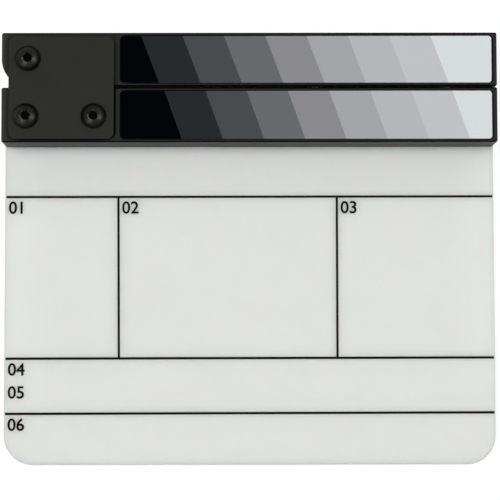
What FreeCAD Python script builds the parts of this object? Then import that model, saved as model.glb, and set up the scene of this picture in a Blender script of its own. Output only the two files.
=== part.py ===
import FreeCAD, Part
import math
import os

from FreeCAD import Vector

# Clapperboard, sizes in millimetres. It lies on its back: +X is to the right of the written face,
# +Y towards the clap sticks and +Z out of the written face. The origin is under the middle of the
# whole outline, on the plane that the board rests on.

# Whole slate
slate_width = 150.0
slate_height = 130.8

# Writing board, opal acrylic sheet
board_thickness = 3.0
board_lower_corner = 9.0
board_upper_corner = 1.0
board_edge_round = 0.3
board_top_inset = 1.5

# Clap sticks, black moulded plastic
upper_stick_height = 16.3
lower_stick_height = 16.65
stick_depth = 12.0
stick_corner = 0.6
stick_edge_round = 0.24
clap_gap = 0.5

# Grey-scale strips, printed card on adhesive tape in a shallow recess of each stick
strip_plate_gap = 2.05
strip_end_margin = 1.48
strip_side_margin = 0.89
strip_recess_depth = 1.0
strip_recess_corner = 1.1
strip_clearance = 0.12
strip_thickness = 0.7
tape_thickness = 0.15
tape_inset = 0.5

# Hinge plate, screwed to the lower stick and lapping over the upper one
plate_thickness = 1.5
plate_width = 31.8
plate_left_margin = 2.25
plate_bottom_margin = 0.85
plate_top_margin = 1.45
plate_corner = 2.0
plate_edge_round = 0.15
plate_clearance = 0.3
plate_screw_left_inset = 5.25
plate_screw_right_inset = 6.1
plate_screw_bottom_inset = 6.95

# Button-head socket screws of the plate and the pivot
button_thread = 4.0
button_head = 7.6
button_head_height = 2.2
button_head_rim = 0.4
button_head_flat = 3.4
button_socket = 2.5
button_socket_depth = 1.4
button_socket_bevel = 0.15
button_tip_chamfer = 0.5
plate_screw_length = 10.0
plate_hole_clearance = 0.15

# Threaded brass inserts for the plate screws
plate_insert_outer = 5.6
plate_insert_length = 8.0

# Flat-head socket screws that hold the board to the lower stick from behind
flat_thread = 3.0
flat_head = 5.6
flat_head_lip = 0.3
flat_head_sink = 0.2
flat_socket = 2.0
flat_socket_depth = 1.1
flat_tip_chamfer = 0.4
flat_screw_length = 8.0
board_screw_count = 4
board_screw_end_inset = 18.0
board_hole_clearance = 0.2

# Threaded brass inserts for the board screws
board_insert_outer = 4.2
board_insert_length = 5.0

# Fits that all threaded holes share
thread_clearance = 0.05
hole_end_clearance = 0.3

# Pivot: sleeve, two flanged bushes, washer and lock nut with its nylon ring
sleeve_outer = 6.0
sleeve_clearance = 0.1
bush_running_clearance = 0.05
bush_wall = 0.95
bush_flange = 0.4
bush_flange_width = 0.8
bush_gap = 0.4
thrust_clearance = 0.1
washer_outer = 9.0
washer_thickness = 0.8
washer_clearance = 0.15
nut_across_flats = 7.0
nut_height = 5.0
nut_collar_height = 1.8
nut_collar_outer = 6.4
nut_chamfer = 0.3
nut_lip = 0.3
nut_ring_thickness = 1.2
nut_ring_outer = 5.2
pivot_tip_reach = 0.5
pivot_back_clearance = 0.5
pocket_clearance = 0.2

# Magnets that snap the sticks shut
magnet_diameter = 6.0
magnet_thickness = 3.0
magnet_sink = 0.1
magnet_edge_round = 0.2
magnet_count = 2
magnet_end_inset = 15.0
magnet_pitch = 40.0

# Length by which a cut runs past the face that it opens, and the reach of a face match
overrun = 1.0
snap = 0.001

# Turns of the screw sockets about their own axes, in degrees
pivot_socket_turn = 30.0
plate_socket_turns = (14.0, 33.0)

# Ends, edges and levels that follow from the sizes
left_end = -slate_width / 2
right_end = slate_width / 2
slate_bottom = -slate_height / 2
slate_top = slate_height / 2

upper_stick_bottom = slate_top - upper_stick_height
lower_stick_top = upper_stick_bottom - clap_gap
lower_stick_bottom = lower_stick_top - lower_stick_height
lower_stick_middle = lower_stick_bottom + lower_stick_height / 2

board_front = board_thickness
lower_stick_front = board_front + stick_depth
upper_stick_front = lower_stick_front - plate_clearance
plate_back = lower_stick_front
plate_front = plate_back + plate_thickness

plate_left = left_end + plate_left_margin
plate_right = plate_left + plate_width
plate_bottom = lower_stick_bottom + plate_bottom_margin
plate_top = slate_top - plate_top_margin

strip_left = plate_right + strip_plate_gap
strip_right = right_end - strip_end_margin

pivot_x = left_end + upper_stick_height / 2
pivot_y = upper_stick_bottom + upper_stick_height / 2

plate_screw_y = plate_bottom + plate_screw_bottom_inset
plate_screw_xs = (plate_left + plate_screw_left_inset, plate_right - plate_screw_right_inset)
plate_screw_tip = plate_front - plate_screw_length
plate_insert_back = lower_stick_front - plate_insert_length
plate_hole_end = min(plate_screw_tip, plate_insert_back) - hole_end_clearance

first_board_screw_x = sum(plate_screw_xs) / len(plate_screw_xs)
last_board_screw_x = right_end - board_screw_end_inset
board_screw_pitch = (last_board_screw_x - first_board_screw_x) / (board_screw_count - 1)
board_screw_xs = [first_board_screw_x + board_screw_pitch * i for i in range(board_screw_count)]
board_screw_tip = flat_head_sink + flat_screw_length
board_insert_front = board_front + board_insert_length
board_hole_end = max(board_screw_tip, board_insert_front) + hole_end_clearance

magnet_xs = [right_end - magnet_end_inset - magnet_pitch * i for i in range(magnet_count)]
magnet_z = board_front + stick_depth / 2

# Pivot stack, from the screw's tip at the back up to the plate
pivot_tip = pivot_back_clearance
nut_back = pivot_tip + pivot_tip_reach
nut_front = nut_back + nut_height
washer_front = nut_front + washer_thickness
rear_flange_back = washer_front + thrust_clearance
pocket_floor = rear_flange_back + bush_flange
front_flange_front = plate_back - thrust_clearance
front_flange_back = front_flange_front - bush_flange
bush_length = (front_flange_back - pocket_floor - bush_gap) / 2

bush_bore = sleeve_outer + 2 * bush_running_clearance
bush_outer = bush_bore + 2 * bush_wall
bush_flange_outer = bush_outer + 2 * bush_flange_width
nut_across_corners = nut_across_flats / math.cos(math.radians(30))
pocket_diameter = max(washer_outer, nut_across_corners, bush_flange_outer) + 2 * pocket_clearance


def slab(left, right, bottom, top, back, front, radii):
    """Flat block whose upright corners, from the lower left one anticlockwise, have these radii."""
    corners = [Vector(left, bottom, back), Vector(right, bottom, back)]
    corners += [Vector(right, top, back), Vector(left, top, back)]
    arcs = []
    for i, radius in enumerate(radii):
        to_last = (corners[i - 1] - corners[i]).normalize()
        to_next = (corners[(i + 1) % len(corners)] - corners[i]).normalize()
        centre = corners[i] + (to_last + to_next) * radius
        middle = centre - (to_last + to_next) * (radius / math.sqrt(2))
        arcs.append((corners[i] + to_last * radius, middle, corners[i] + to_next * radius))
    edges = []
    for i, (start, middle, end) in enumerate(arcs):
        next_start = arcs[(i + 1) % len(arcs)][0]
        edges.append(Part.Arc(start, middle, end).toShape())
        edges.append(Part.LineSegment(end, next_start).toShape())
    return Part.Face(Part.Wire(edges)).extrude(Vector(0, 0, front - back))


def round_rim(shape, level, radius):
    """The shape with every edge that lies in the level plane at that height rounded."""
    rim = []
    for edge in shape.Edges:
        box = edge.BoundBox
        if abs(box.ZMin - level) < snap and abs(box.ZMax - level) < snap:
            rim.append(edge)
    return shape.makeFillet(radius, rim)


def rod(x, y, back, front, diameter):
    """Upright round bar between two levels."""
    return Part.makeCylinder(diameter / 2, front - back, Vector(x, y, back))


def tube(x, y, back, front, outer, bore):
    """Upright round bar with a bore along its whole length."""
    return rod(x, y, back, front, outer).cut(rod(x, y, back - overrun, front + overrun, bore))


def hexagon(x, y, back, front, across_flats, turn):
    """Upright hexagonal bar between two levels, turned by that many degrees from a point along +X."""
    reach = across_flats / math.sqrt(3)
    points = []
    for i in range(7):
        angle = math.radians(turn + 60 * i)
        points.append(Vector(x + reach * math.cos(angle), y + reach * math.sin(angle), back))
    return Part.Face(Part.makePolygon(points)).extrude(Vector(0, 0, front - back))


def turned(x, y, edges):
    """Solid of revolution about the upright axis at x, y, from edges drawn in the XZ plane."""
    solid = Part.Face(Part.Wire(edges)).revolve(Vector(0, 0, 0), Vector(0, 0, 1), 360)
    return solid.translated(Vector(x, y, 0))


def profile(points):
    """Straight edges through (radius, height) points, as an open chain in the XZ plane."""
    places = [Vector(radius, 0, height) for radius, height in points]
    return [Part.LineSegment(a, b).toShape() for a, b in zip(places, places[1:])]


def button_screw(x, y, seat, tip, socket_turn):
    """Domed socket screw, its head's underside at the seat level and its shank down to the tip level."""
    shank = button_thread / 2
    rim = button_head / 2
    flat = button_head_flat / 2
    rim_level = seat + button_head_rim
    top = seat + button_head_height
    rise = button_head_height - button_head_rim
    below_rim = (rim ** 2 - flat ** 2 - rise ** 2) / (2 * rise)
    dome_radius = math.hypot(rim, below_rim)
    middle_radius = (rim + flat) / 2
    middle_level = rim_level - below_rim + math.sqrt(dome_radius ** 2 - middle_radius ** 2)
    lower = [
        (0, top),
        (0, tip),
        (shank - button_tip_chamfer, tip),
        (shank, tip + button_tip_chamfer),
        (shank, seat),
        (rim, seat),
        (rim, rim_level),
    ]
    dome = Part.Arc(
        Vector(rim, 0, rim_level),
        Vector(middle_radius, 0, middle_level),
        Vector(flat, 0, top),
    )
    edges = profile(lower) + [dome.toShape()] + profile([(flat, top), (0, top)])
    socket = hexagon(x, y, top - button_socket_depth, top + overrun, button_socket, socket_turn)
    mouth = button_socket / math.sqrt(3)
    bevel_base = Vector(x, y, top - button_socket_bevel)
    bevel = Part.makeCone(mouth, mouth + button_socket_bevel, button_socket_bevel, bevel_base)
    return turned(x, y, edges).cut([socket, bevel])


def flat_screw(x, y):
    """Countersunk socket screw driven from behind, its head just under the board's back face."""
    shank = flat_thread / 2
    head = flat_head / 2
    tip = board_screw_tip
    cone_back = flat_head_sink + flat_head_lip
    outline = [
        (0, flat_head_sink),
        (head, flat_head_sink),
        (head, cone_back),
        (shank, cone_back + head - shank),
        (shank, tip - flat_tip_chamfer),
        (shank - flat_tip_chamfer, tip),
        (0, tip),
        (0, flat_head_sink),
    ]
    socket_end = flat_head_sink + flat_socket_depth
    socket = hexagon(x, y, flat_head_sink - overrun, socket_end, flat_socket, 0)
    return turned(x, y, profile(outline)).cut(socket)


def countersunk_hole(x, y):
    """Cutter for a board screw: its head's own cone carried out to the back face, and a clear hole."""
    hole = flat_thread / 2 + board_hole_clearance
    mouth = flat_head / 2 + flat_head_lip + flat_head_sink
    outline = [
        (0, -overrun),
        (mouth + overrun, -overrun),
        (hole, mouth - hole),
        (hole, board_front + overrun),
        (0, board_front + overrun),
        (0, -overrun),
    ]
    return turned(x, y, profile(outline))


def slate_board():
    """Writing board: a sheet with rounded lower corners and a row of countersunk holes near its top."""
    lower, upper = board_lower_corner, board_upper_corner
    top = lower_stick_top - board_top_inset
    board = slab(left_end, right_end, slate_bottom, top, 0, board_front, (lower, lower, upper, upper))
    board = round_rim(board, 0, board_edge_round)
    board = round_rim(board, board_front, board_edge_round)
    return board.cut([countersunk_hole(x, lower_stick_middle) for x in board_screw_xs])


def strip_recess(stick_bottom, stick_top, stick_front):
    """Cutter for the shallow recess in a stick's front face."""
    bottom = stick_bottom + strip_side_margin
    top = stick_top - strip_side_margin
    floor = stick_front - strip_recess_depth
    corners = [strip_recess_corner] * 4
    return slab(strip_left, strip_right, bottom, top, floor, stick_front + overrun, corners)


def grey_strip(stick_bottom, stick_top, stick_front):
    """Printed card of a stick, a little smaller than its recess."""
    bottom = stick_bottom + strip_side_margin + strip_clearance
    top = stick_top - strip_side_margin - strip_clearance
    back = stick_front - strip_recess_depth + tape_thickness
    corners = [strip_recess_corner - strip_clearance] * 4
    left = strip_left + strip_clearance
    return slab(left, strip_right - strip_clearance, bottom, top, back, back + strip_thickness, corners)


def strip_tape(stick_bottom, stick_top, stick_front):
    """Adhesive tape between a recess's floor and its card, set in from the card's edge."""
    inset = strip_clearance + tape_inset
    bottom = stick_bottom + strip_side_margin + inset
    top = stick_top - strip_side_margin - inset
    back = stick_front - strip_recess_depth
    front = back + tape_thickness
    corners = [strip_recess_corner - inset] * 4
    return slab(strip_left + inset, strip_right - inset, bottom, top, back, front, corners)


def magnet(x, face, inward):
    """Disc magnet just under a clapping face, reaching into its stick: inward is +1 up, -1 down."""
    centre = Vector(x, face + inward * magnet_sink, magnet_z)
    disc = Part.makeCylinder(magnet_diameter / 2, magnet_thickness, centre, Vector(0, inward, 0))
    return disc.makeFillet(magnet_edge_round, [edge for edge in disc.Edges if edge.Closed])


def magnet_hole(x, face, inward):
    """Cutter for a magnet's blind hole."""
    mouth = Vector(x, face - inward * overrun, magnet_z)
    depth = overrun + magnet_sink + magnet_thickness
    return Part.makeCylinder(magnet_diameter / 2, depth, mouth, Vector(0, inward, 0))


def lower_stick():
    """Fixed stick: recess and insert holes in front, insert holes behind, magnet holes on top."""
    back, front = board_front, lower_stick_front
    corners = [stick_corner] * 4
    stick = slab(left_end, right_end, lower_stick_bottom, lower_stick_top, back, front, corners)
    stick = round_rim(stick, front, stick_edge_round)
    cuts = [strip_recess(lower_stick_bottom, lower_stick_top, front)]
    for x in plate_screw_xs:
        cuts.append(rod(x, plate_screw_y, plate_hole_end, front + overrun, plate_insert_outer))
    for x in board_screw_xs:
        cuts.append(rod(x, lower_stick_middle, back - overrun, board_hole_end, board_insert_outer))
    for x in magnet_xs:
        cuts.append(magnet_hole(x, lower_stick_top, -1))
    return stick.cut(cuts)


def upper_stick():
    """Clapping stick: its lower left corner is round about the pivot, so that it turns clear."""
    back, front = board_front, upper_stick_front
    corners = [upper_stick_height / 2] + [stick_corner] * 3
    stick = slab(left_end, right_end, upper_stick_bottom, slate_top, back, front, corners)
    stick = round_rim(stick, front, stick_edge_round)
    stick = round_rim(stick, back, stick_edge_round)
    cuts = [
        strip_recess(upper_stick_bottom, slate_top, front),
        rod(pivot_x, pivot_y, back - overrun, front + overrun, bush_outer),
        rod(pivot_x, pivot_y, front_flange_back, front + overrun, bush_flange_outer),
        rod(pivot_x, pivot_y, back - overrun, pocket_floor, pocket_diameter),
    ]
    for x in magnet_xs:
        cuts.append(magnet_hole(x, upper_stick_bottom, 1))
    return stick.cut(cuts)


def hinge_plate():
    """Steel plate in front of both sticks, with holes for the pivot and the two plate screws."""
    corners = [plate_corner] * 4
    plate = slab(plate_left, plate_right, plate_bottom, plate_top, plate_back, plate_front, corners)
    plate = round_rim(plate, plate_front, plate_edge_round)
    places = [(pivot_x, pivot_y)] + [(x, plate_screw_y) for x in plate_screw_xs]
    hole = button_thread + 2 * plate_hole_clearance
    return plate.cut([rod(x, y, plate_back - overrun, plate_front + overrun, hole) for x, y in places])


def plate_screws():
    """Two button-head screws that hold the plate to the lower stick."""
    screws = []
    for x, turn in zip(plate_screw_xs, plate_socket_turns):
        screws.append(button_screw(x, plate_screw_y, plate_front, plate_screw_tip, turn))
    return Part.makeCompound(screws)


def plate_screw_inserts():
    """Two threaded inserts, flush with the lower stick's front under the plate."""
    bore = button_thread + 2 * thread_clearance
    back, front = plate_insert_back, lower_stick_front
    inserts = []
    for x in plate_screw_xs:
        inserts.append(tube(x, plate_screw_y, back, front, plate_insert_outer, bore))
    return Part.makeCompound(inserts)


def board_screws():
    """Row of flat-head screws from the back of the board into the lower stick."""
    return Part.makeCompound([flat_screw(x, lower_stick_middle) for x in board_screw_xs])


def board_screw_inserts():
    """Row of threaded inserts, flush with the lower stick's back."""
    bore = flat_thread + 2 * thread_clearance
    back, front = board_front, board_insert_front
    inserts = []
    for x in board_screw_xs:
        inserts.append(tube(x, lower_stick_middle, back, front, board_insert_outer, bore))
    return Part.makeCompound(inserts)


def pivot_sleeve():
    """Steel sleeve that the screw clamps between plate and washer, and that the bushes turn on."""
    bore = button_thread + 2 * sleeve_clearance
    return tube(pivot_x, pivot_y, washer_front, plate_back, sleeve_outer, bore)


def front_pivot_bush():
    """Flanged bush in the upper stick's front, with its flange towards the plate."""
    body = rod(pivot_x, pivot_y, front_flange_back - bush_length, front_flange_back, bush_outer)
    flange = rod(pivot_x, pivot_y, front_flange_back, front_flange_front, bush_flange_outer)
    bore = rod(pivot_x, pivot_y, pocket_floor, front_flange_front + overrun, bush_bore)
    return body.fuse(flange).cut(bore).removeSplitter()


def rear_pivot_bush():
    """Flanged bush in the upper stick's back, with its flange in the pocket towards the washer."""
    body = rod(pivot_x, pivot_y, pocket_floor, pocket_floor + bush_length, bush_outer)
    flange = rod(pivot_x, pivot_y, rear_flange_back, pocket_floor, bush_flange_outer)
    bore = rod(pivot_x, pivot_y, rear_flange_back - overrun, front_flange_back, bush_bore)
    return body.fuse(flange).cut(bore).removeSplitter()


def pivot_washer():
    """Plain washer between the sleeve and the nut."""
    bore = button_thread + 2 * washer_clearance
    return tube(pivot_x, pivot_y, nut_front, washer_front, washer_outer, bore)


def pivot_nut():
    """Lock nut: a hexagon with a round collar behind it, hollowed for the nylon ring."""
    collar_front = nut_back + nut_collar_height
    flat, corner = nut_across_flats / 2, nut_across_corners / 2
    outline = [
        (0, collar_front),
        (flat, collar_front),
        (corner, collar_front + nut_chamfer),
        (corner, nut_front - nut_chamfer),
        (flat, nut_front),
        (0, nut_front),
        (0, collar_front),
    ]
    chamfered = turned(pivot_x, pivot_y, profile(outline))
    hexagonal = hexagon(pivot_x, pivot_y, collar_front, nut_front, nut_across_flats, 0).common(chamfered)
    collar = rod(pivot_x, pivot_y, nut_back, collar_front, nut_collar_outer)
    ring_back = nut_back + nut_lip
    seat = rod(pivot_x, pivot_y, ring_back, ring_back + nut_ring_thickness, nut_ring_outer)
    bore = button_thread + 2 * thread_clearance
    hole = rod(pivot_x, pivot_y, nut_back - overrun, nut_front + overrun, bore)
    return hexagonal.fuse(collar).cut([seat, hole])


def pivot_nut_ring():
    """Nylon ring that the lock nut's collar holds."""
    back = nut_back + nut_lip
    bore = button_thread + 2 * thread_clearance
    return tube(pivot_x, pivot_y, back, back + nut_ring_thickness, nut_ring_outer, bore)


nodes = {
    "slate_board": slate_board(),
    "lower_stick": lower_stick(),
    "lower_grey_strip": grey_strip(lower_stick_bottom, lower_stick_top, lower_stick_front),
    "lower_strip_tape": strip_tape(lower_stick_bottom, lower_stick_top, lower_stick_front),
    "lower_magnets": Part.makeCompound([magnet(x, lower_stick_top, -1) for x in magnet_xs]),
    "board_screws": board_screws(),
    "board_screw_inserts": board_screw_inserts(),
    "hinge_plate": hinge_plate(),
    "plate_screws": plate_screws(),
    "plate_screw_inserts": plate_screw_inserts(),
    "pivot_screw": button_screw(pivot_x, pivot_y, plate_front, pivot_tip, pivot_socket_turn),
    "pivot_sleeve": pivot_sleeve(),
    "pivot_washer": pivot_washer(),
    "pivot_nut": pivot_nut(),
    "pivot_nut_ring": pivot_nut_ring(),
    "upper_stick": upper_stick(),
    "upper_grey_strip": grey_strip(upper_stick_bottom, slate_top, upper_stick_front),
    "upper_strip_tape": strip_tape(upper_stick_bottom, slate_top, upper_stick_front),
    "upper_magnets": Part.makeCompound([magnet(x, upper_stick_bottom, 1) for x in magnet_xs]),
    "front_pivot_bush": front_pivot_bush(),
    "rear_pivot_bush": rear_pivot_bush(),
}

os.makedirs("parts", exist_ok=True)
for name, shape in nodes.items():
    shape.exportStep(f"parts/{name}.step")
    print(name, len(shape.Solids), "solids", round(shape.Volume, 1), "mm3")
print("pivot axis at", round(pivot_x, 3), round(pivot_y, 3))
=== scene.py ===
# %% [markdown]
# # Dressing a small film slate
#
# This slate is a white opal acrylic board under two black clap sticks. Its shapes come from a CAD
# model, with one mesh for each piece that would come apart on a bench. This lesson gives every piece
# its finish, prints the rules and field numbers on the board, and sets up the camera and the light.
#
# The pieces could be modelled again here, but their shapes are right already. So they stay as they are,
# and the work goes into materials that read each piece's own Object coordinates and travel with it when
# it moves. Lengths are in millimetres, apart from those of the lamps and the floor, which are in
# metres.

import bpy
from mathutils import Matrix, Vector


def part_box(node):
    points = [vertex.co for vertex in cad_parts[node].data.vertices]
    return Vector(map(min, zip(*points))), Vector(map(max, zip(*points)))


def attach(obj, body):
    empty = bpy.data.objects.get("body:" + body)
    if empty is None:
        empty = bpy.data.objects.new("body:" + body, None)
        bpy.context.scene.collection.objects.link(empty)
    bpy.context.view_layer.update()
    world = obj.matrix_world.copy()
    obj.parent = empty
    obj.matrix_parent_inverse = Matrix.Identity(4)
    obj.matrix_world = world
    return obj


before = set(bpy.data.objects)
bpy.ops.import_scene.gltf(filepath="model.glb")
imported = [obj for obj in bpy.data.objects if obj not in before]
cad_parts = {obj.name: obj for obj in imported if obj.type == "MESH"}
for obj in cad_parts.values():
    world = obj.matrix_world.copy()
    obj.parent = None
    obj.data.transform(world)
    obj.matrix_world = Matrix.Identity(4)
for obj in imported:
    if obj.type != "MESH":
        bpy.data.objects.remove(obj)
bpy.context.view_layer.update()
print("pieces from the CAD model:", len(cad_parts))

# %% Units and boxes
import math

import bmesh
import bpy
import numpy as np
from mathutils import Vector

MM = 0.001


def box_mm(node):
    """The lowest and the highest corner of a CAD piece at rest, in millimetres."""
    low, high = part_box(node)
    return np.array(low) / MM, np.array(high) / MM


board_low, board_high = box_mm("slate_board")
print("board in mm:", np.round(board_high - board_low, 2))

# %% [markdown]
# ## The camera
#
# The slate lies on its back and the camera looks down on it from about 63 cm, a touch below its middle.
# A camera can be placed by eye, but here its place and turn were fitted to the straight edges of the
# board and the sticks, because a fraction of a degree decides how much of the lower stick's underside
# shows.

# %% Camera
camera_place_mm = (-2.37, -44.41, 633.0)
camera_turn_degrees = (4.045, -0.227, -0.080)
lens_mm = 148.26

camera = bpy.data.objects.new("slate_camera", bpy.data.cameras.new("slate_camera"))
camera.data.lens = lens_mm
camera.location = Vector(camera_place_mm) * MM
camera.rotation_mode = "ZYX"
camera.rotation_euler = [math.radians(turn) for turn in camera_turn_degrees]
bpy.context.scene.collection.objects.link(camera)
bpy.context.scene.camera = camera
bpy.context.scene.view_settings.view_transform = "Standard"
print("camera at", camera_place_mm, "mm with a lens of", lens_mm, "mm")

# %% [markdown]
# ## Shader sums written as Python
#
# A material in Blender is a tree of nodes. Wiring each node by hand soon hides the idea behind it, so
# one small class wraps a socket and lets Python's own operators add the Math nodes: `1 - mask` is a
# node, and so is `cloud * 0.1`. Every other node comes from the one method `node`, which sets the
# node's settings first and then its sockets, each from a plain value or from another wrapped socket.

# %% A socket with operators


class Signal:
    """One output socket of a node tree. Sums and products of signals add Math nodes to that tree."""

    def __init__(self, tree, socket=None):
        self.tree = tree
        self.socket = socket

    def node(self, kind, settings=None, sockets=None, out=0):
        """Adds a node, sets its settings, then its sockets from values or signals, and gives an output."""
        made = self.tree.nodes.new(kind)
        for name, value in (settings or {}).items():
            setattr(made, name, value)
        for name, value in (sockets or {}).items():
            if isinstance(value, Signal):
                self.tree.links.new(value.socket, made.inputs[name])
            else:
                made.inputs[name].default_value = value
        return Signal(self.tree, made.outputs[out]) if made.outputs else None

    def math(self, operation, *values):
        """Math with these values."""
        return self.node("ShaderNodeMath", {"operation": operation}, dict(enumerate(values)))

    def __add__(self, other):
        return self.math("ADD", self, other)

    def __radd__(self, other):
        return self.math("ADD", other, self)

    def __sub__(self, other):
        return self.math("SUBTRACT", self, other)

    def __rsub__(self, other):
        return self.math("SUBTRACT", other, self)

    def __mul__(self, other):
        return self.math("MULTIPLY", self, other)

    def __rmul__(self, other):
        return self.math("MULTIPLY", other, self)

    def vector(self, operation, other, out="Vector"):
        """Vector Math with another vector."""
        return self.node("ShaderNodeVectorMath", {"operation": operation}, {0: self, 1: other}, out)

    def between(self, low, high):
        """A mask that goes smoothly from 0 at low to 1 at high."""
        if low > high:
            return 1 - self.between(high, low)
        settings = {"interpolation_type": "SMOOTHSTEP"}
        sockets = {"Value": self, "From Min": low, "From Max": high}
        return self.node("ShaderNodeMapRange", settings, sockets)


print("reflected operators:", [name for name in vars(Signal) if name.startswith("__r")])

# %% [markdown]
# ## The light
#
# The studio is plain: a dim dome and four soft boxes. The key box hangs overhead, a little to the left,
# and a wide box beyond the sticks lays the soft shade under them. Both are kept out of reflections, as
# a polarising filter does, and the dome is dark straight above: the black pieces mirror that part and
# would turn milky. The box to the right and the small one at the lower left give each screw head its
# highlights. Each lamp is set by the share of white light that it lays on the board, so that a colour
# renders about as it is written.

# %% Dome
horizon_level = 0.08
dome_level = 0.36
zenith_level = 0.05
dome_rise = (0.10, 0.60)
zenith_fall = (0.80, 0.95)

world = bpy.data.worlds.new("studio_dome")
world.use_nodes = True
world.node_tree.nodes.clear()
sky = Signal(world.node_tree)
direction = sky.node("ShaderNodeTexCoord", out="Generated")
height = sky.node("ShaderNodeSeparateXYZ", None, {"Vector": direction}, "Z")
rise = height.between(*dome_rise) * (dome_level - horizon_level)
fall = height.between(*zenith_fall) * (zenith_level - dome_level)
level = horizon_level + rise + fall
glow = sky.node("ShaderNodeBackground", None, {"Color": (1.0, 1.0, 1.0, 1.0), "Strength": level})
sky.node("ShaderNodeOutputWorld", None, {"Surface": glow})
bpy.context.scene.world = world
print("dome levels from the horizon to straight above:", horizon_level, dome_level, zenith_level)

# %% Soft boxes
lamp_distance = 2.0


def soft_box(name, towards, share, width, length, glossy=True):
    """A rectangular lamp in that direction, mirrored in glossy pieces or not.

    Power is share x pi^2 x distance^2 / cosine of its slant.
    """
    way = Vector(towards).normalized()
    lamp = bpy.data.lights.new(name, "AREA")
    lamp.shape = "RECTANGLE"
    lamp.size = width
    lamp.size_y = length
    lamp.energy = share * (math.pi * lamp_distance) ** 2 / way.z
    box = bpy.data.objects.new(name, lamp)
    box.location = way * lamp_distance
    box.rotation_mode = "QUATERNION"
    box.rotation_quaternion = way.to_track_quat("Z", "Y")
    box.visible_camera = False
    box.visible_glossy = glossy
    bpy.context.scene.collection.objects.link(box)
    print(name, "of", round(lamp.energy, 2), "W")


soft_box("key_soft_box", (-0.38, 0.10, 0.92), share=0.39, width=0.60, length=0.60, glossy=False)
soft_box("far_soft_box", (0.35, 0.75, 0.56), share=0.065, width=2.20, length=0.50, glossy=False)
soft_box("right_soft_box", (0.70, -0.05, 0.71), share=0.23, width=0.50, length=1.10)
soft_box("left_soft_box", (-0.50, -0.55, 0.67), share=0.12, width=0.50, length=0.50)

# %% [markdown]
# ## The floor
#
# The slate lies on a plain floor that looks white. The photograph's ground is pure white, which a lit
# floor reaches only if the lamps burn out the board as well. So the floor itself is grey and adds a
# glow of its own for the rays that look at it, camera, mirror and glass rays alike. Its grey still
# takes a faint shadow of the slate.

# %% Floor
floor_reach = 20.0
floor_drop = 0.02 * MM
floor_colour = (0.16, 0.16, 0.16, 1.0)
floor_glow = 0.87

corners = floor_reach * np.array([[-1, -1, 0], [1, -1, 0], [1, 1, 0], [-1, 1, 0]]) - [0, 0, floor_drop]
floor_mesh = bpy.data.meshes.new("pale_floor")
floor_mesh.from_pydata(corners.tolist(), [], [[0, 1, 2, 3]])
floor = bpy.data.objects.new("pale_floor", floor_mesh)
bpy.context.scene.collection.objects.link(floor)

pale = bpy.data.materials.new("pale_floor")
pale.use_nodes = True
pale.node_tree.nodes.clear()
ground = Signal(pale.node_tree)
ray_kinds = ("Camera", "Glossy", "Transmission")
looks = [ground.node("ShaderNodeLightPath", out=f"Is {kind} Ray") for kind in ray_kinds]
seen = looks[0].math("MAXIMUM", looks[0], looks[1].math("MAXIMUM", looks[1], looks[2]))
matt = ground.node("ShaderNodeBsdfDiffuse", None, {"Color": floor_colour})
shine = ground.node("ShaderNodeEmission", None, {"Strength": seen * floor_glow})
both = ground.node("ShaderNodeAddShader", None, {0: matt, 1: shine})
ground.node("ShaderNodeOutputMaterial", None, {"Surface": both})
floor_mesh.materials.append(pale)
print("floor", 2 * floor_reach, "m across")

# %% [markdown]
# ## Starting a finish
#
# Every finish below starts the same way: a Principled shader, whose fixed values are set on the shader
# itself, and the piece's Object coordinates, turned into millimetres so that the sizes of grain and
# scratches read as they are. What changes over a surface is then linked to colour, roughness, metal or
# a bump.

# %% A finish and its links


def begin_finish(name, **fixed):
    """A new material, its Principled shader, and the place on the piece in millimetres."""
    material = bpy.data.materials.new(name)
    material.use_nodes = True
    tree = material.node_tree
    tree.nodes.clear()
    end = tree.nodes.new("ShaderNodeOutputMaterial")
    shader = tree.nodes.new("ShaderNodeBsdfPrincipled")
    tree.links.new(shader.outputs["BSDF"], end.inputs["Surface"])
    for socket, value in fixed.items():
        shader.inputs[socket.replace("_", " ")].default_value = value
    metres = Signal(tree).node("ShaderNodeTexCoord", out="Object")
    return material, shader, metres.vector("MULTIPLY", (1 / MM,) * 3)


def feed(shader, **signals):
    """Links signals to the sockets of a shader, such as Base_Color or Roughness."""
    for socket, signal in signals.items():
        signal.tree.links.new(signal.socket, shader.inputs[socket.replace("_", " ")])


def wear(piece_name, finish):
    """Gives a CAD piece its finish."""
    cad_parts[piece_name].material_slots[0].material = finish
    print(piece_name, "in", finish.name)


print("helpers for a finish: begin_finish, feed, wear")

# %% Patterns and colours


def noise(place, size, detail=2.0, stretch=(1.0, 1.0, 1.0), turn=0.0):
    """Cloudy noise from 0 to 1 with lumps of that size in mm, longer where stretch is above 1."""
    if turn or stretch != (1.0, 1.0, 1.0):
        rotation = (0.0, 0.0, math.radians(turn))
        spun = place.node("ShaderNodeMapping", None, {"Vector": place, "Rotation": rotation})
        place = spun.vector("MULTIPLY", [1 / share for share in stretch])
    sockets = {"Vector": place, "Scale": 1 / size, "Detail": detail}
    return place.node("ShaderNodeTexNoise", None, sockets)


def blend(mask, one, other):
    """The first colour where the mask is 0 and the other where it is 1.

    A Mix node has sockets for every kind of data: inputs 6 and 7 and output 2 are the colours.
    """
    colours = [c if isinstance(c, Signal) else (*c, 1.0) for c in (one, other)]
    settings = {"data_type": "RGBA"}
    return mask.node("ShaderNodeMix", settings, {0: mask, 6: colours[0], 7: colours[1]}, 2)


def bump(heights, depth_mm):
    """A normal from heights between 0 and 1 that stand for that depth."""
    return heights.node("ShaderNodeBump", None, {"Height": heights, "Distance": depth_mm * MM})


def split(place):
    """The x, y and z of a place as three signals."""
    return [place.node("ShaderNodeSeparateXYZ", None, {"Vector": place}, axis) for axis in "XYZ"]


print("helpers for patterns: noise, blend, bump, split")

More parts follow.
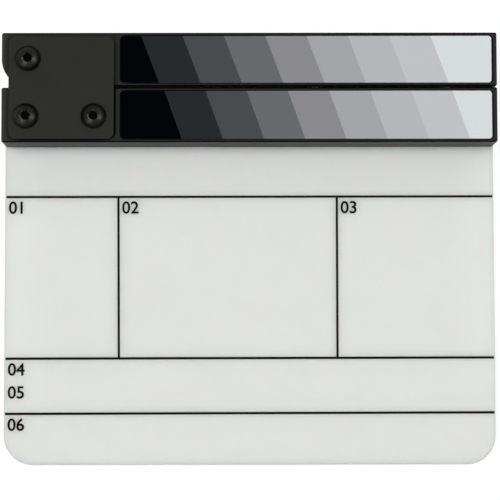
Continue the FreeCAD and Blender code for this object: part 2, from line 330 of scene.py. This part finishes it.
# %% [markdown]
# ## Opal acrylic board
#
# The board is a 3 mm sheet of white acrylic with a satin writing face and cut edges. It is a little
# translucent: light sinks in and comes out a few millimetres on, so the white dims softly beside the
# black ink and under the sticks. A painted gradient could fake that, but subsurface scattering gives it
# from the real shapes. Red light travels a little further than green, so the dimmed white turns faintly
# green. Towards its two sides the base colour is painted a shade whiter, as painted light for the light
# that the cut edges let in. On top lie a faint cloudiness, the wipe marks of a cloth and fine hairline
# scratches. The cut edges keep the saw's fine lines.

# %% Opal acrylic
scatter_reach = 6.0
painted_side_light_reach = 16.0
painted_side_light_rise = (5.0, 45.0)
face_rounding = 0.35


def opal_acrylic():
    material, shader, place = begin_finish(
        "opal_acrylic",
        IOR=1.49,
        Specular_IOR_Level=0.4,
        Subsurface_Weight=1.0,
        Subsurface_Radius=(1.12, 0.85, 0.95),
        Subsurface_Scale=scatter_reach * MM,
    )
    cloud = noise(place, 38.0, detail=3.0)
    wipes = noise(place, 5.0, detail=3.0, stretch=(7.0, 1.0, 1.0), turn=24.0).between(0.55, 0.8)
    hairs = noise(place, 0.35, stretch=(60.0, 1.0, 1.0), turn=-33.0).between(0.66, 0.74)
    saw = noise(place, 0.12, detail=1.0, stretch=(1.0, 1.0, 40.0))
    x, y, z = split(place)
    from_side = x.math("MINIMUM", x - board_low[0], board_high[0] - x)
    painted_side_light = from_side.between(painted_side_light_reach, 0.0) * (y - board_low[1]).between(*painted_side_light_rise)
    face = z.between(board_high[2] - face_rounding, board_high[2])
    colour = blend(cloud, (0.868, 0.819, 0.789), (0.893, 0.843, 0.814))
    # Painted light: towards the two sides, and fading towards the bottom, the base colour is blended
    # whiter.
    colour = blend(painted_side_light * 0.5, colour, (0.992, 0.916, 0.891))
    colour = blend(wipes * face * 0.05, colour, (0.66, 0.68, 0.65))
    rough = 0.30 + wipes * 0.06 + hairs * 0.10 + (1 - face) * (0.14 + saw * 0.12)
    heights = saw * (1 - face) + hairs * face * -0.4
    feed(shader, Base_Color=colour, Roughness=rough, Normal=bump(heights, 0.01))
    return material


wear("slate_board", opal_acrylic())

# %% [markdown]
# ## Satin black moulding
#
# The two clap sticks are moulded in black plastic. The mould was spark-eroded, which leaves a fine even
# grain that spreads the light, so the black looks like soft charcoal. Rubbing greys the edges a little
# in spots. The hinge end is painted greyer, partly wear from the hands and partly painted light where
# the key light from the left falls on it. Along the long edges and in the seams round the plate and the
# cards the black is painted deep and without sheen, as painted shade: a near-black metal mirrors next
# to nothing, so Metallic rises there. That seam shade fades out towards the hinge end, where the light
# reaches in. All these masks follow from distances to the boxes of the stick and its neighbours, so
# none needs a texture.

# %% Edges and seams
edge_round = 0.24
seam_reach = 0.4
end_seam_reach = 0.65
seam_core = 0.4


def depths_in_box(place, node):
    """How far a place lies from the nearer face of a piece's box, in x, in y and in z."""
    sides = zip(split(place), *box_mm(node))
    return [axis.math("MINIMUM", axis - bottom, top - axis) for axis, bottom, top in sides]


def near_edges(place, node, reach):
    """1 at the edges of a piece's box and 0 further in than reach.

    At an edge two of the three depths are small, so the middle one of them tells how near it is.
    """
    a, b, c = depths_in_box(place, node)
    smaller = a.math("MINIMUM", a, b)
    larger = a.math("MAXIMUM", a, b)
    middle = a.math("MAXIMUM", smaller, a.math("MINIMUM", larger, c))
    return middle.between(reach, 0.0)


def long_edges(place, node, reach):
    """1 along the rounded long edges of a stick and 0 further in than reach.

    A long edge runs along x, so the larger one of the depths in y and z tells how near it is.
    """
    return place.math("MAXIMUM", *depths_in_box(place, node)[1:]).between(reach, edge_round)


def seam_shade(place, node, corner):
    """1 close round the outline of a piece, seen from the front, and 0 further out than the seam shade
    reaches.

    The outline is the piece's box with round corners. Its distance is the distance to the smaller box
    between the corners' centres, less the corners' radius. Beyond the two ends a distance counts for
    less, so the painted shade is wider there.
    """
    low, high = box_mm(node)
    shares = (seam_reach / end_seam_reach, 1.0)
    overs = []
    for axis, bottom, top, share in zip(split(place), low, high, shares):
        over = axis.math("MAXIMUM", bottom - axis, axis - top) * share + corner
        overs.append(over.math("MAXIMUM", over, 0.0))
    squares = overs[0] * overs[0] + overs[1] * overs[1]
    return (squares.math("SQRT", squares) - corner).between(seam_reach, seam_reach * seam_core)


print("seams reach", seam_reach, "mm, and", end_seam_reach, "mm at the ends")

# %% Moulded plastic
rub_reach = 0.6
edge_reach = 0.5
end_light_reach = 2.6
lit_end_fade = (2.0, 4.5)
deep_black = (0.002, 0.002, 0.002)
card_corner = 1.0
plate_corner = 2.0


def black_moulding(node, seams):
    material, shader, place = begin_finish(f"{node}_moulding", IOR=1.5, Specular_IOR_Level=0.24)
    grain = noise(place, 0.28)
    cloud = noise(place, 11.0, detail=3.0)
    rub = near_edges(place, node, rub_reach) * noise(place, 1.8, detail=3.0).between(0.42, 0.72)
    from_hinge_end = split(place)[0] - box_mm(node)[0][0]
    handling_and_end_light = from_hinge_end.between(end_light_reach, 0.0)
    past_lit_end = from_hinge_end.between(*lit_end_fade)
    painted_shade = long_edges(place, node, edge_reach)
    for seam, corner in seams.items():
        painted_shade = painted_shade.math("MAXIMUM", painted_shade, seam_shade(place, seam, corner) * past_lit_end)
    colour = blend(cloud, (0.0168, 0.0167, 0.0155), (0.0216, 0.0215, 0.0200))
    colour = blend(grain.between(0.62, 0.8) * 0.3, colour, (0.045, 0.045, 0.042))
    # Rubbed edges are wear; the greyer hinge end is partly wear and partly painted light.
    colour = blend(rub * 0.12 + handling_and_end_light * 0.62, colour, (0.055, 0.055, 0.052))
    # Painted shade: the long edges and the seams round the plate and cards go near-black and lose their
    # sheen.
    colour = blend(painted_shade * 0.95, colour, deep_black)
    rough = 0.44 + cloud * 0.06 + grain * 0.08 - rub * 0.10
    feed(shader, Base_Color=colour, Roughness=rough, Metallic=painted_shade * 0.9, Normal=bump(grain, 0.02))
    return material


lower_seams = {"lower_grey_strip": card_corner, "hinge_plate": plate_corner}
upper_seams = {"upper_grey_strip": card_corner}
wear("lower_stick", black_moulding("lower_stick", lower_seams))
wear("upper_stick", black_moulding("upper_stick", upper_seams))

# %% [markdown]
# ## Powder-coated hinge plate
#
# The hinge plate is sheet steel under a thin black powder coat. The powder melts into a fine orange
# peel, and tiny flecks stay a shade lighter. Where the screw heads were tightened, a ring of the coat
# is polished. The plate's rim and its thin walls are painted near-black and without sheen, as painted
# shade. Both the peel and the flecks are noise at their real size, the rings come from the distance to
# each screw's axis, and the rim from the depth under the plate's face.

# %% Screw places
pivot_low, pivot_high = box_mm("pivot_screw")
pivot_axis = (pivot_low + pivot_high) / 2
head_radius = (pivot_high[0] - pivot_low[0]) / 2


def row_of_centres(node, count, across=1):
    """Middles of like round pieces in a row along X.

    Their radius is half the box's size along the axis numbered by across. The first and the last piece
    touch the ends of the box, and the others stand at even steps between.
    """
    low, high = box_mm(node)
    radius = (high[across] - low[across]) / 2
    middle = (low + high) / 2
    steps = np.linspace(low[0] + radius, high[0] - radius, count)
    return [np.array([x, middle[1], middle[2]]) for x in steps]


def from_axes(place, along, centres):
    """Distance in mm to the nearest of some axes that run along X, Y or Z through these centres."""
    across = np.array([float(axis != along) for axis in "XYZ"])
    flat = place.vector("MULTIPLY", across)
    away = [flat.vector("DISTANCE", across * centre, "Value") for centre in centres]
    nearest = away[0]
    for other in away[1:]:
        nearest = nearest.math("MINIMUM", nearest, other)
    return nearest


plate_axes = row_of_centres("plate_screws", 2)
board_axes = row_of_centres("board_screws", 4)
print("plate screws at", [np.round(axis[:2], 2).tolist() for axis in plate_axes])

# %% Powder coat
plate_top = box_mm("hinge_plate")[1][2]
rim_depth = 0.01
wall_depth = 0.05
ring_reach = (0.7, 0.1)
coat_rub_reach = 0.5


def powder_coat():
    material, shader, place = begin_finish("powder_coat", IOR=1.5, Specular_IOR_Level=0.34)
    peel = noise(place, 0.55)
    cloud = noise(place, 9.0, detail=3.0)
    flecks = noise(place, 0.22, detail=1.0).between(0.66, 0.76)
    from_head = from_axes(place, "Z", [pivot_axis, *plate_axes]) - head_radius
    ring = from_head.between(*ring_reach) * noise(place, 1.2).between(0.35, 0.65)
    worn_edge = noise(place, 1.4, detail=3.0).between(0.45, 0.75)
    rub = near_edges(place, "hinge_plate", coat_rub_reach) * worn_edge
    painted_wall_shade = split(place)[2].between(plate_top - rim_depth, plate_top - wall_depth)
    colour = blend(cloud, (0.0175, 0.0177, 0.0143), (0.0225, 0.0228, 0.0187))
    colour = blend(flecks * 0.30, colour, (0.045, 0.046, 0.042))
    colour = blend(rub * 0.12, colour, (0.045, 0.045, 0.042))
    # Painted shade: the plate's rim and thin walls are blended to near-black and lose their sheen.
    colour = blend(painted_wall_shade, colour, deep_black)
    rough = 0.46 + peel * 0.07 + cloud * 0.05 - ring * 0.10 - rub * 0.08
    feed(shader, Base_Color=colour, Roughness=rough, Metallic=painted_wall_shade * 0.9, Normal=bump(peel, 0.014))
    return material


wear("hinge_plate", powder_coat())

# %% [markdown]
# ## Black-oxide screws
#
# The screws are steel, blackened in a hot bath and oiled. The oxide is so thin that the turning lines
# still show as fine rings round each axis. They could be cut into the mesh, but a sine of the distance
# to the axis needs no faces. A hex key wears chips in the rim of each socket towards bare steel, and
# the rim's lower-left side is painted lighter as a painted glint. The foot of each head and the depth
# of its socket are painted black as painted shade, a near-black metal without sheen, and the socket
# holds lighter specks as painted glints. The rest of the oxide is a dark coat that still shines, warmed
# by the oil.

# %% Painted glint on the socket rims
glint_reach = (1.3, 1.9)
glint_limit = (2.0, 1.9)


def painted_glint_side(place, centres):
    """1 on the side of each socket towards low x and low y, where a painted glint lies, and 0 elsewhere.

    The first screw has the lowest x, so its side is not cut off. The others count only near their axes.
    """
    x, y = split(place)[:2]
    sides = [(centre[0] + centre[1] - x - y).between(*glint_reach) for centre in centres]
    glint = sides[0]
    for centre, side in zip(centres[1:], sides[1:]):
        near = from_axes(place, "Z", [centre]).between(*glint_limit)
        glint = glint.math("MAXIMUM", glint, side * near)
    return glint


print("helper for worn sockets: painted_glint_side")

# %% Black oxide
oil_tint = (1.0, 1.0, 0.84, 1.0)
turning_pitch = 0.16
mouth_depth = (0.1, 0.3)
foot_shade_reach = (1.4, 0.3)
rim_shares = (0.82, 1.22)
wall_share = 1.05


def black_oxide(name, centres, head, socket, mouth):
    """Oxide on upright screws, from the radii of head and socket and the height of the socket's mouth."""
    material, shader, place = begin_finish(name, IOR=1.6, Specular_IOR_Level=0.40, Specular_Tint=oil_tint)
    away = from_axes(place, "Z", centres)
    depth = split(place)[2] - mouth
    deep = depth.math("ABSOLUTE", depth).between(*mouth_depth)
    socket_shade = deep * away.between(socket * wall_share, socket)
    cloud = noise(place, 1.3, detail=3.0)
    rings = away * (2 * math.pi / turning_pitch)
    turning = rings.math("SINE", rings) * 0.5 + 0.5
    painted_foot_shade = away.between(head - foot_shade_reach[0], head - foot_shade_reach[1]) * 0.68
    rim_inside, rim_outside = [away.between(socket * share, socket) for share in rim_shares]
    chips = noise(place, 0.5).between(0.48, 0.70)
    # The rim lightens in worn chips and, on its lower-left side, in a painted glint.
    wear_and_glint = rim_inside * rim_outside * (chips * 0.5 + painted_glint_side(place, centres) * 0.5)
    # Painted glints: lighter specks in the depth of each socket.
    socket_glints = blend(noise(place, 0.45, detail=1.0).between(0.6, 0.75), (0.012,) * 3, (0.10,) * 3)
    colour = blend(cloud, (0.0022, 0.0022, 0.0020), (0.0055, 0.0055, 0.0050))
    colour = blend(wear_and_glint * 0.9, colour, (0.22, 0.215, 0.195))
    # Painted shade: the foot of each head and the depth of its socket go near-black without sheen.
    colour = blend(painted_foot_shade, colour, deep_black)
    colour = blend(socket_shade, colour, socket_glints)
    rough = 0.34 + cloud * 0.12 + turning * 0.04 - wear_and_glint * 0.06
    metal = wear_and_glint.math("MAXIMUM", wear_and_glint * 0.2, wear_and_glint.math("MAXIMUM", socket_shade, painted_foot_shade))
    feed(shader, Base_Color=colour, Roughness=rough, Metallic=metal, Normal=bump(turning, 0.003))
    return material


button_socket = 1.5
flat_socket = 1.15
flat_low, flat_high = box_mm("board_screws")
flat_head = (flat_high[1] - flat_low[1]) / 2
button = (head_radius, button_socket, pivot_high[2])
flat = (flat_head, flat_socket, flat_low[2])
wear("pivot_screw", black_oxide("pivot_screw_oxide", [pivot_axis], *button))
wear("plate_screws", black_oxide("plate_screw_oxide", plate_axes, *button))
wear("board_screws", black_oxide("board_screw_oxide", board_axes, *flat))

# %% [markdown]
# ## Grey-scale cards
#
# Each stick carries a printed card with nine grey steps, from black at the hinge to white at the free
# end. The steps lean, and when the sticks are shut they run on from one card to the other. A sum of x
# and a share of y is constant along a leaning line, so that sum tells how far along the card a place
# is. A colour ramp would round the step edges to its own table, so each step is blended over the one
# before it. The cards were cut apart, so each has its own start, pitch and lean. The printer's greys
# are not quite neutral: the dark ones are cool and the middle ones faintly rosy. The print is
# laminated, which makes it smooth, and its white paper core shows on the cut edges.

# %% Printed card
step_greys = (0.01, 0.163, 0.296, 0.420, 0.550, 0.649, 0.720, 0.765, 0.862)
step_soft = 0.03
ink_tint = (0.1, 1.0, 2.2)
cool_tint = (0.865, 1.04, 1.08)
rose_tint = (0.985, 0.975, 1.045)
pale_tint = (0.985, 1.0, 1.045)
paper_tint = (0.962, 1.012, 1.012)
step_leans = {"upper_grey_strip": 0.378, "lower_grey_strip": 0.357}
first_steps = {"upper_grey_strip": 11.88, "lower_grey_strip": 12.62}
step_pitches = {"upper_grey_strip": 12.53, "lower_grey_strip": 12.45}
gap_level = (box_mm("lower_stick")[1][1] + box_mm("upper_stick")[0][1]) / 2
print_depth = 0.03
core_depth = 0.06


def linear(share):
    """The light behind a grey that is written as a share of screen white, by the usual screen curve."""
    return ((share + 0.055) / 1.055) ** 2.4 if share > 0.04045 else share / 12.92


def printed_card(node):
    material, shader, place = begin_finish(f"{node}_print", IOR=1.5, Specular_IOR_Level=0.12)
    low, high = box_mm(node)
    x, y, z = split(place)
    travel = x + (y - gap_level) * step_leans[node] - (low[0] + first_steps[node])
    cool_to_rose = np.linspace(cool_tint, rose_tint, 4).tolist()
    tints = [ink_tint] + cool_to_rose + [pale_tint] * 3 + [paper_tint]
    greys = [[linear(grey) * share for share in tint] for grey, tint in zip(step_greys, tints)]
    steps = greys[0]
    for i, grey in enumerate(greys[1:]):
        edge = i * step_pitches[node]
        steps = blend(travel.between(edge - step_soft, edge + step_soft), steps, grey)
    mottle = noise(place, 0.6, detail=3.0)
    smears = noise(place, 4.0, stretch=(5.0, 1.0, 1.0), turn=12.0)
    core = z.between(high[2] - print_depth, high[2] - core_depth)
    colour = blend(mottle * 0.06, steps, (0.0, 0.0, 0.0))
    colour = blend(core, colour, (0.78, 0.78, 0.76))
    rough = 0.20 + smears * 0.08 + core * 0.4
    feed(shader, Base_Color=colour, Roughness=rough, Normal=bump(mottle, 0.002))
    return material


for card in ("lower_grey_strip", "upper_grey_strip"):
    wear(card, printed_card(card))

# %% [markdown]
# ## Small metal and plastic pieces
#
# The rest hides between the sticks, in the pivot and behind the board, and shows when the slate opens
# or is turned over. One grey could serve for them all, but a slate is taken apart to mend it, so each
# material still gets its own finish: lapped nickel on the magnets, drawn brass on the inserts, zinc
# plate on the nut, washer and sleeve, milky nylon in the nut, speckled bearing plastic on the bushes,
# and adhesive tape.

# %% Nickel, zinc and brass


def nickel_plate(node):
    material, shader, place = begin_finish(f"{node}_nickel", Metallic=1.0)
    low, high = box_mm(node)
    radius = (high[2] - low[2]) / 2
    away = from_axes(place, "Y", row_of_centres(node, 2, across=2))
    scuffs = noise(place, 0.5, detail=3.0, stretch=(8.0, 1.0, 1.0), turn=40.0).between(0.56, 0.74)
    rim = away.between(radius * 0.85, radius) * noise(place, 0.7)
    colour = blend(scuffs, (0.66, 0.635, 0.59), (0.50, 0.485, 0.46))
    colour = blend(rim * 0.5, colour, (0.42, 0.41, 0.40))
    rough = 0.16 + scuffs * 0.20 + rim * 0.12
    feed(shader, Base_Color=colour, Roughness=rough, Normal=bump(scuffs, 0.002))
    return material


def zinc_plate():
    material, shader, place = begin_finish("zinc_plate", Metallic=1.0)
    cloud = noise(place, 1.1, detail=3.0)
    lines = noise(place, 0.09, detail=1.0, stretch=(1.0, 1.0, 20.0))
    colour = blend(cloud, (0.50, 0.51, 0.53), (0.62, 0.62, 0.58))
    rough = 0.26 + cloud * 0.14 + lines * 0.06
    feed(shader, Base_Color=colour, Roughness=rough, Normal=bump(lines, 0.003))
    return material


def drawn_brass():
    material, shader, place = begin_finish("drawn_brass", Metallic=1.0)
    tarnish = noise(place, 0.9, detail=3.0)
    lines = noise(place, 0.10, detail=1.0, stretch=(1.0, 1.0, 25.0))
    colour = blend(tarnish, (0.72, 0.53, 0.22), (0.52, 0.36, 0.13))
    rough = 0.24 + tarnish * 0.16 + lines * 0.05
    feed(shader, Base_Color=colour, Roughness=rough, Normal=bump(lines, 0.004))
    return material


for magnets in ("lower_magnets", "upper_magnets"):
    wear(magnets, nickel_plate(magnets))
zinc = zinc_plate()
for steel in ("pivot_nut", "pivot_washer", "pivot_sleeve"):
    wear(steel, zinc)
brass = drawn_brass()
for inserts in ("plate_screw_inserts", "board_screw_inserts"):
    wear(inserts, brass)

# %% Nylon, bearing plastic and tape
nylon_scatter = 0.5


def milky_nylon():
    material, shader, place = begin_finish(
        "milky_nylon",
        IOR=1.53,
        Subsurface_Weight=0.3,
        Subsurface_Scale=nylon_scatter * MM,
    )
    cloud = noise(place, 0.7, detail=3.0)
    colour = blend(cloud, (0.70, 0.69, 0.64), (0.78, 0.77, 0.73))
    feed(shader, Base_Color=colour, Roughness=0.42 + cloud * 0.12, Normal=bump(cloud, 0.004))
    return material


def bearing_plastic():
    material, shader, place = begin_finish("bearing_plastic", IOR=1.5)
    specks = noise(place, 0.18, detail=1.0).between(0.60, 0.72)
    cloud = noise(place, 1.6)
    colour = blend(cloud, (0.32, 0.30, 0.235), (0.38, 0.36, 0.285))
    colour = blend(specks * 0.6, colour, (0.16, 0.15, 0.12))
    feed(shader, Base_Color=colour, Roughness=0.50 + cloud * 0.10, Normal=bump(specks, 0.004))
    return material


def adhesive_tape():
    material, shader, place = begin_finish("adhesive_tape", IOR=1.47)
    bubbles = noise(place, 0.8).between(0.58, 0.68)
    fibres = noise(place, 0.12, stretch=(12.0, 1.0, 1.0), turn=70.0)
    colour = blend(fibres, (0.74, 0.71, 0.62), (0.84, 0.82, 0.75))
    feed(shader, Base_Color=colour, Roughness=0.30 + bubbles * 0.25, Normal=bump(bubbles, 0.01))
    return material


wear("pivot_nut_ring", milky_nylon())
bearing = bearing_plastic()
for bush in ("front_pivot_bush", "rear_pivot_bush"):
    wear(bush, bearing)
tape = adhesive_tape()
for strip in ("lower_strip_tape", "upper_strip_tape"):
    wear(strip, tape)

# %% [markdown]
# ## Printed ink
#
# The rules and numbers are screen-printed: the ink stands a few hundredths of a millimetre proud and
# its shoulders are round. A picture on the board could show them, but real ridges cast the tiny shadow
# and stop the light that would sink into the acrylic. The ink is matt black with pinholes where the
# screen's mesh left a gap.

# %% Ink finish


def screen_ink():
    material, shader, place = begin_finish("screen_ink", IOR=1.5, Specular_IOR_Level=0.15)
    mesh_marks = noise(place, 0.16, detail=1.0)
    cloud = noise(place, 3.0)
    colour = blend(cloud, deep_black, (0.005, 0.005, 0.0048))
    colour = blend(mesh_marks.between(0.72, 0.80) * 0.4, colour, (0.04, 0.04, 0.039))
    feed(shader, Base_Color=colour, Roughness=0.45 + mesh_marks * 0.15, Normal=bump(mesh_marks, 0.004))
    return material


ink = screen_ink()


def print_on_board(name, mesh):
    """Adds an inked mesh that lies on the board and moves with the slate."""
    mesh.materials.append(ink)
    piece = bpy.data.objects.new(name, mesh)
    bpy.context.scene.collection.objects.link(piece)
    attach(piece, "slate")


print("ink:", ink.name)

# %% [markdown]
# ## Rules
#
# Three rules run across the board and two dividers stand between the first and the second. Each is a
# straight stroke of ink with the same section from end to end, so a section carried along a path makes
# it. The places are measured down from the lower stick and in from the board's left edge, at both ends
# of each stroke, because the print isn't quite square to the board. The middle and the lower rule are a
# touch bolder than the rest.

# %% A stroke of ink
ink_height = 0.03
ink_shoulder = 0.5
section_points = 13
path_points = 25


def ink_stroke(start, end, width):
    """A low ridge of ink along a straight path on the board's face.

    The section is the upper half of a superellipse: across is half the width times cos(t), and up is
    the height times sin(t), each with its size to the power of the shoulder, for t from 0 to pi. It is
    carried from start to end, the flat underside closes each ring, and one face closes each end.
    """
    turn = np.linspace(0.0, math.pi, section_points)
    across = width / 2 * np.sign(np.cos(turn)) * np.abs(np.cos(turn)) ** ink_shoulder
    up = ink_height * np.abs(np.sin(turn)) ** ink_shoulder
    start = np.array([*start, board_high[2]])
    end = np.array([*end, board_high[2]])
    along = (end - start) / np.linalg.norm(end - start)
    side = np.cross(along, [0.0, 0.0, 1.0])
    section = across[:, None] * side + up[:, None] * np.array([0.0, 0.0, 1.0])
    path = start + np.linspace(0.0, 1.0, path_points)[:, None] * (end - start)
    points = (path[:, None, :] + section[None, :, :]).reshape(-1, 3) * MM
    ring, corner = np.meshgrid(np.arange(path_points - 1), np.arange(section_points), indexing="ij")
    here = ring * section_points + corner
    beside = ring * section_points + (corner + 1) % section_points
    quads = np.stack([here, here + section_points, beside + section_points, beside], axis=-1)
    first = np.arange(section_points)
    last = first[::-1] + section_points * (path_points - 1)
    mesh = bpy.data.meshes.new("ink_stroke")
    faces = quads.reshape(-1, 4).tolist() + [first.tolist(), last.tolist()]
    mesh.from_pydata(points.tolist(), [], faces)
    return mesh


print("points in a stroke:", section_points * path_points)

# %% Rules and dividers
thin_stroke = 0.69
bold_stroke = 0.73
stick_bottom = box_mm("lower_stick")[0][1]
rule_drops = {"upper_rule": (15.42, 15.37), "middle_rule": (65.00, 64.84), "lower_rule": (81.81, 81.57)}
rule_widths = {"upper_rule": thin_stroke, "middle_rule": bold_stroke, "lower_rule": bold_stroke}
divider_insets = {"left_divider": (34.74, 35.01), "right_divider": (101.83, 101.84)}
rule_end_inset = 0.35
rule_ends = (board_low[0] + rule_end_inset, board_high[0] - rule_end_inset)


def rule_level(name, x):
    """The height of a rule's middle line at a place across the board."""
    return stick_bottom - np.interp(x, rule_ends, rule_drops[name])


for name, width in rule_widths.items():
    left, right = [(x, rule_level(name, x)) for x in rule_ends]
    print_on_board(name, ink_stroke(left, right, width))
divider_tops = {}
for name, insets in divider_insets.items():
    top_x, bottom_x = [board_low[0] + inset for inset in insets]
    top = rule_level("upper_rule", top_x) - rule_widths["upper_rule"] / 2
    bottom = rule_level("middle_rule", bottom_x) + rule_widths["middle_rule"] / 2
    print_on_board(name, ink_stroke((top_x, top), (bottom_x, bottom), thin_stroke))
    divider_tops[name] = top_x
print("rules:", len(rule_drops), "and dividers:", len(divider_tops))

# %% [markdown]
# ## Field numbers
#
# Each field of the board has a plain number at its left, from 01 to 06. The band between the two lowest
# rules holds two fields, one above the other. Digits could be drawn as strokes, but Blender's own font
# already has well-shaped digits. The text is made a mesh first, and only then are its size and place
# worked into the mesh, so that the object itself stays at the origin like every other piece.

# %% Numbers
number_height = 3.85
number_inset = 1.15
number_drop = 1.35
number_pitch = 7.0
number_boldness = 0.016
figure_depth = 0.5
weld_reach = 0.001


def number_mesh(text, left, top):
    """Digits as a closed mesh on the board's face, as high as a number and as thick as the ink.

    Each point, measured from the digits' upper left corner, is scaled and then moved to its place.
    """
    figures = bpy.data.curves.new("number", "FONT")
    figures.body = text
    figures.extrude = figure_depth
    figures.bevel_depth = number_boldness
    maker = bpy.data.objects.new("number", figures)
    mesh = bpy.data.meshes.new_from_object(maker)
    bpy.data.objects.remove(maker)
    points = np.empty(len(mesh.vertices) * 3, np.float32)
    mesh.vertices.foreach_get("co", points)
    points = points.reshape(-1, 3)
    low, high = points.min(axis=0), points.max(axis=0)
    size = number_height / (high[1] - low[1])
    scale = np.array([size, size, ink_height / (high[2] - low[2])])
    corner = np.array([low[0], high[1], low[2]])
    placed = (points - corner) * scale + [left, top, board_high[2]]
    mesh.vertices.foreach_set("co", (placed * MM).astype(np.float32).ravel())
    joined = bmesh.new()
    joined.from_mesh(mesh)
    bmesh.ops.remove_doubles(joined, verts=joined.verts, dist=weld_reach * MM)
    bmesh.ops.recalc_face_normals(joined, faces=joined.faces)
    joined.to_mesh(mesh)
    joined.free()
    return mesh


edge = board_low[0]
places = [(left, rule_level("upper_rule", left)) for left in (edge, *divider_tops.values())]
places.append((edge, rule_level("middle_rule", edge)))
places.append((edge, rule_level("middle_rule", edge) - number_pitch))
places.append((edge, rule_level("lower_rule", edge)))
for i, (left, level) in enumerate(places, 1):
    digits = number_mesh(f"{i:02d}", left + number_inset, level - number_drop)
    print_on_board(f"field_number_{i}", digits)
print("numbered fields:", len(places))

# %% [markdown]
# ## Closing
#
# The finishes and the ink add no size to the slate.
